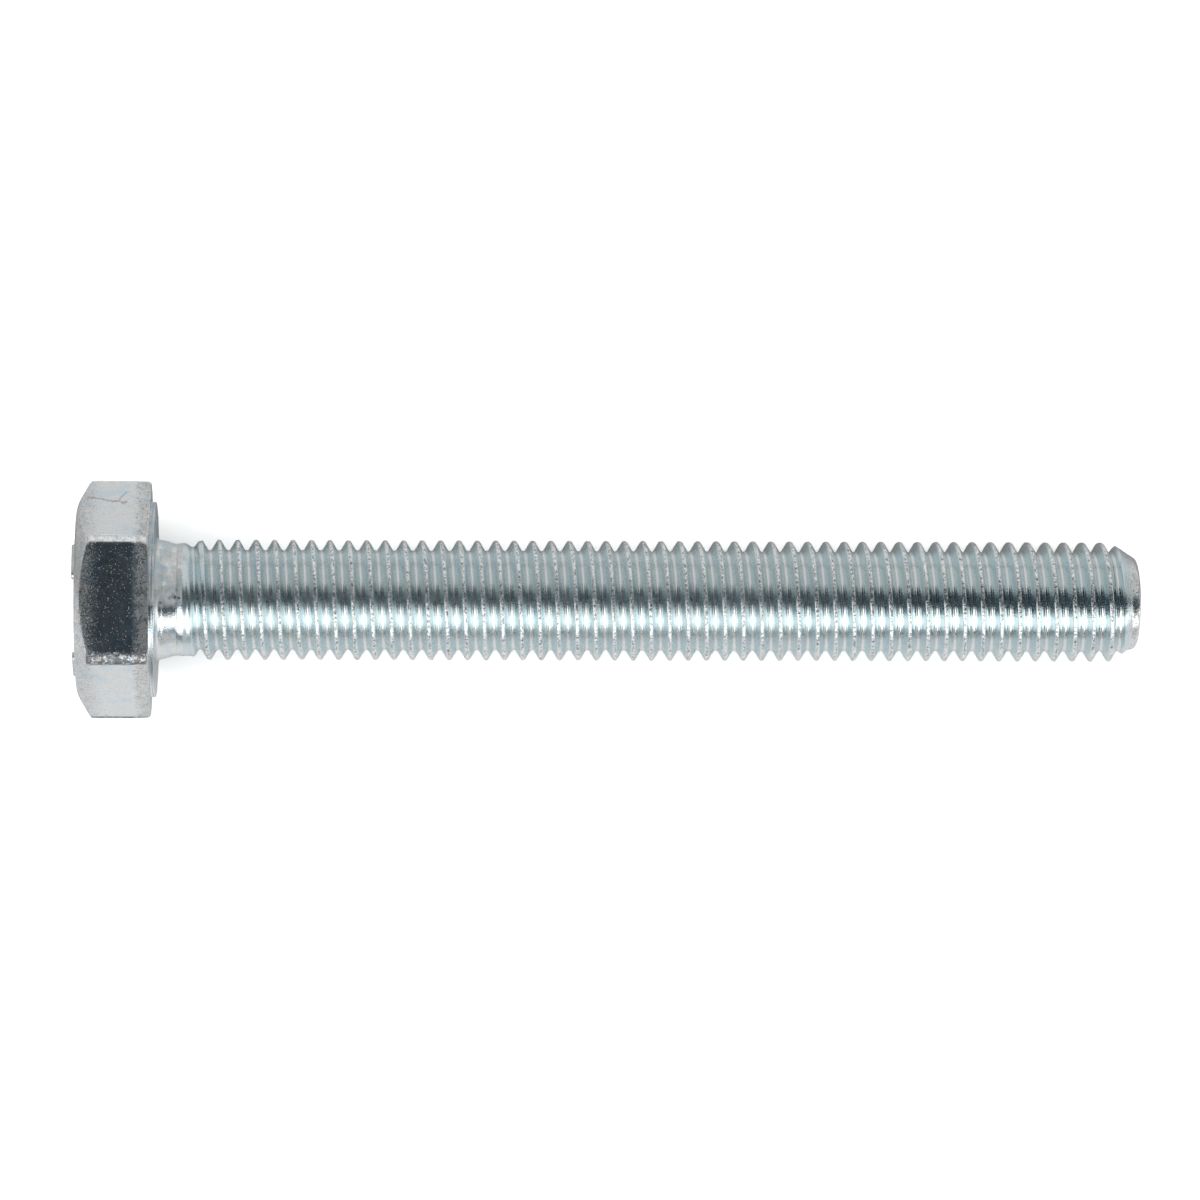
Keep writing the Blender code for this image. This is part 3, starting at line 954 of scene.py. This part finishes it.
def neck_zinc(name):
    """The neck and washer face: smoother zinc with cloudy frosting and fine turned lines."""
    material, nodes, shader = metal(name)
    place = nodes.place()
    x, y, z = nodes.parts(place)
    bearing = BEARING_X / MM
    on_washer = nodes.rise(x, bearing + 0.06, bearing - 0.02)
    colour = passivated(nodes, place)
    # Stretched around the axis, the noise turns into the lines that a lathe leaves.
    lathe = nodes.noise(nodes.stretched(place, 9.0, 0.25, 0.25), 1.0, 3.0, 0.6)
    lines = nodes.times(nodes.rise(lathe, 0.42, 0.58), on_washer)
    colour = nodes.paint(colour, lines, 0.6, LATHE_GREY)
    dust = nodes.rise(nodes.noise(place, 6.5, 4.0, 0.75), 0.52, 0.68)
    colour = nodes.paint(colour, dust, 0.45, NECK_DUST)
    nodes.plug(shader.inputs["Base Color"], colour)
    patches = nodes.noise(place, 1.3, 5.0, 0.7)
    cloudy = nodes.times(nodes.rise(patches, 0.34, 0.56), nodes.rise(y, *NECK_FROST))
    rough = nodes.plus(nodes.times(cloudy, 0.5), 0.15)
    rough = nodes.plus(rough, nodes.times(dust, 0.08))
    nodes.plug(shader.inputs["Roughness"], rough)
    fine = nodes.noise(place, 6.0, 4.0, 0.65)
    normal = nodes.bump(fine, 0.016 * MM)
    normal = nodes.bump(lathe, 0.006 * MM, normal)
    nodes.plug(shader.inputs["Normal"], normal)
    return material


def thread_zinc(name):
    """The thread: smooth rolled flanks, and crests crinkled by the fold that rolling leaves.

    It is duller from the head to past the middle than at the tip, and blotted on the tip's rim.
    """
    material, nodes, shader = metal(name)
    place = nodes.place()
    x, y, z = nodes.parts(place)
    from_axis = nodes.from_axis(y, z)
    tip = TIP_X / MM
    crest = nodes.rise(from_axis, *(CREST_RADIUS / MM + edge for edge in CREST_BAND))
    root = nodes.rise(from_axis, *(ROOT_RADIUS / MM + edge for edge in ROOT_BAND))
    on_point = nodes.rise(x, *(tip + edge for edge in POINT_WEAR))
    on_rim = nodes.times(nodes.rise(x, *(tip + edge for edge in RIM_WEAR), 0.15, 1.0), on_point)
    crinkle = nodes.noise(place, 4.5, 4.0, 0.75)
    blots = nodes.times(on_rim, spots(nodes, place, 6.5, 0.45, 0.55))

    # Colour: tinted flanks, paler roots, and crests flecked with painted shade and glints that follow the
    # fold's crinkles
    clouds = nodes.noise(place, 0.45, 4.0, 0.6)
    colour = nodes.blend(nodes.rise(clouds, 0.42, 0.62, 0.0, 0.8), THREAD_GREY, THREAD_BLUE)
    dust = nodes.rise(nodes.noise(place, 6.5, 4.0, 0.75), 0.54, 0.7)
    dust_share = nodes.times(dust, nodes.plus(nodes.times(on_point, 0.5), 0.16))
    colour = nodes.blend(dust_share, colour, THREAD_DUST)
    colour = nodes.paint(colour, root, 0.8, THREAD_ROOT)
    # Painted shade in the crinkles' hollows and painted glints on their ridges, following the fold's relief
    fold_shade_and_glints = nodes.blend(nodes.rise(crinkle, 0.42, 0.52), FOLD_SHADE, FOLD_GLINT)
    colour = nodes.paint(colour, crest, 0.9, fold_shade_and_glints)
    colour = nodes.paint(colour, blots, 0.8, BLOT_GREY)
    nodes.plug(shader.inputs["Base Color"], colour)

    # Roughness: even from head to middle, then shinier with more and more dull specks
    patches = nodes.rise(nodes.noise(place, 1.2, 4.0, 0.65), 0.35, 0.65, -0.03, 0.03)
    rough = nodes.plus(nodes.rise(x, *THREAD_ROUGHNESS), patches)
    specks = nodes.times(spots(nodes, place, 10.0, 0.4, 0.5), nodes.rise(x, *THREAD_SPECKS))
    rough = nodes.plus(rough, specks)
    nodes.plug(shader.inputs["Roughness"], rough)

    # Relief too fine for the mesh: the crinkled fold, the blots, and grain towards the tip
    normal = nodes.bump(nodes.times(crest, nodes.centred(crinkle)), 0.045 * MM)
    normal = nodes.bump(nodes.minus(1.0, blots), 0.01 * MM, normal)
    fine = nodes.centred(nodes.noise(place, 5.0, 4.0, 0.65))
    strength = nodes.plus(nodes.rise(x, *THREAD_RELIEF), nodes.times(on_point, 0.7))
    normal = nodes.bump(nodes.times(fine, strength), 0.014 * MM, normal)
    nodes.plug(shader.inputs["Normal"], normal)
    return material


# ---------------------------------------------------------------- table, light and camera


def table_paint(name):
    """The table's matt white.

    It is brighter in the picture than in the bolt's reflections, as an overexposed table is. In
    them it has painted shade: a little darker on the +Y side, away from the brighter light, darker
    still in a painted shadow of the bolt in a strip close to it on that side, and darker far away.
    """
    material = bpy.data.materials.new(name)
    material.use_nodes = True
    nodes = Nodes(material.node_tree)
    shader = material.node_tree.nodes["Principled BSDF"]
    place = nodes.place()
    y = nodes.parts(place)[1]
    grain = nodes.noise(place, *TABLE_GRAIN)
    reflected = nodes.blend(grain, TABLE_PALE, TABLE_PALER)
    reflected = nodes.blend(nodes.rise(y, *TABLE_SIDES), reflected, TABLE_SHADED)
    # Painted shade far from the bolt
    far = nodes.rise(nodes.maths("ABSOLUTE", y), *TABLE_FAR)
    reflected = nodes.blend(far, reflected, TABLE_FAR_SHADE)
    # Painted shadow of the bolt in a strip beside it on the +Y side
    bolt_shadow = nodes.times(nodes.rise(y, *TABLE_BESIDE), nodes.rise(y, *TABLE_BESIDE_END))
    reflected = nodes.blend(bolt_shadow, reflected, TABLE_BOLT_SHADOW)
    pictured = nodes.blend(grain, TABLE_WHITE, TABLE_WHITER)
    seen = nodes.add("ShaderNodeLightPath").outputs["Is Camera Ray"]
    nodes.plug(shader.inputs["Base Color"], nodes.blend(seen, reflected, pictured))
    shader.inputs["Roughness"].default_value = 0.9
    shader.inputs["Specular IOR Level"].default_value = 0.0
    return material


def make_table():
    """A plain white table that the head's lower flat and the tip rest on."""
    half = TABLE_SIZE / 2
    corners = [(-half, -half, 0.0), (half, -half, 0.0), (half, half, 0.0), (-half, half, 0.0)]
    mesh = bpy.data.meshes.new("table")
    mesh.from_pydata(corners, [], [(0, 1, 2, 3)])
    mesh.materials.append(table_paint("white_table"))
    table = bpy.data.objects.new("table", mesh)
    bpy.context.scene.collection.objects.link(table)
    table.rotation_euler.y = -TILT
    table.location = -TABLE_UP * TABLE_DROP


def make_table_light():
    """Soft light from the whole ceiling for the table, with no highlight of its own."""
    lamp = bpy.data.lights.new("ceiling", "SUN")
    lamp.energy = TABLE_LIGHT
    lamp.angle = CEILING_ANGLE
    ceiling = bpy.data.objects.new("ceiling", lamp)
    bpy.context.scene.collection.objects.link(ceiling)
    ceiling.rotation_euler.y = -TILT
    ceiling.visible_glossy = False


def studio_light(nodes, direction):
    """How bright the studio is in a direction."""
    x, y, z = nodes.parts(direction)
    across = nodes.maths("ARCTAN2", nodes.times(y, -1.0), z)
    degrees = nodes.times(across, 180 / math.pi)
    # Towards +X the gap swings a little to the -Y side.
    swung = nodes.minus(degrees, nodes.rise(x, *GAP_SWING))
    # The wide light's outer edge slants the other way, and bends outwards far along +X.
    slanted = nodes.minus(degrees, nodes.rise(x, *OUTER_SLANT))
    slanted = nodes.minus(slanted, nodes.rise(x, *OUTER_BEND))
    # Its inner edge is closer to straight up on the head's side.
    inner = nodes.plus(swung, nodes.rise(x, *INNER_SWING))
    key = nodes.times(nodes.rise(inner, *KEY_INNER_EDGE), nodes.rise(slanted, *KEY_OUTER_EDGE))
    low_side = nodes.rise(slanted, *LOW_SIDE_EDGE)
    fill = nodes.rise(swung, *FILL_EDGE)
    to_ends = nodes.maths("ABSOLUTE", x)
    key = nodes.times(key, nodes.rise(to_ends, *KEY_FALL))
    sides = nodes.plus(nodes.times(low_side, LOW_SIDE_LIGHT), nodes.times(fill, FILL_LIGHT))
    sides = nodes.times(sides, nodes.rise(to_ends, *SIDE_FALL))
    return nodes.plus(nodes.plus(sides, key), nodes.rise(x, *GAP_GLOW))


def make_studio():
    """What the metal reflects: a wide soft light on the -Y side, a paler one on the +Y side and
    a dark gap overhead between them, where the camera hangs."""
    scene = bpy.context.scene
    world = bpy.data.worlds.new("studio")
    scene.world = world
    world.use_nodes = True
    world.cycles_visibility.diffuse = False
    nodes = Nodes(world.node_tree)
    background = world.node_tree.nodes["Background"]
    direction = nodes.add("ShaderNodeTexCoord").outputs["Generated"]
    light = studio_light(nodes, direction)
    # Past the table's edge, the picture shows a plain white backdrop.
    seen = nodes.add("ShaderNodeLightPath").outputs["Is Camera Ray"]
    light = nodes.larger(light, nodes.times(seen, BACKDROP_LIGHT))
    nodes.plug(background.inputs["Strength"], light)
    # Only the dim gap is tinted.
    lit = nodes.rise(light, 0.05, 0.4)
    nodes.plug(background.inputs["Color"], nodes.blend(lit, GAP_COLOUR, (1.0, 1.0, 1.0)))
    scene.view_settings.view_transform = "Standard"
    scene.cycles.glossy_bounces = 8


def make_camera():
    """Looks straight down at the table, from above the bolt's middle."""
    camera = bpy.data.objects.new("camera", bpy.data.cameras.new("camera"))
    bpy.context.scene.collection.objects.link(camera)
    camera.data.lens = LENS
    camera.data.sensor_width = SENSOR_WIDTH
    camera.data.clip_start = CLIP_START
    camera.data.clip_end = CLIP_END
    level_right = Vector((math.cos(TILT), 0.0, math.sin(TILT)))
    level_up = Vector((0.0, 1.0, 0.0))
    right = level_right * math.cos(CAMERA_ROLL) + level_up * math.sin(CAMERA_ROLL)
    up = TABLE_UP.cross(right)
    turn = Matrix((right, up, TABLE_UP)).transposed().to_4x4()
    place = Vector((AIM_X, AIM_Y, 0.0)) + TABLE_UP * CAMERA_DISTANCE
    camera.matrix_world = Matrix.Translation(place) @ turn
    bpy.context.scene.camera = camera


def main():
    head_metal = forged_zinc("zinc_on_forged_head")
    neck_metal = neck_zinc("zinc_on_neck")
    thread_metal = thread_zinc("zinc_on_rolled_thread")
    make_hexagon(head_metal)
    for number in range(1, BAR_COUNT + 1):
        make_bar(number, head_metal)
    make_washer_ring(neck_metal)
    make_neck(neck_metal)
    make_threaded("rolled_thread", THREAD_START_X, POINT_START_X, thread_metal, "threaded_shank")
    make_threaded("point", POINT_START_X, TIP_X, thread_metal, "chamfered_point")
    make_table()
    make_table_light()
    make_studio()
    make_camera()


main()
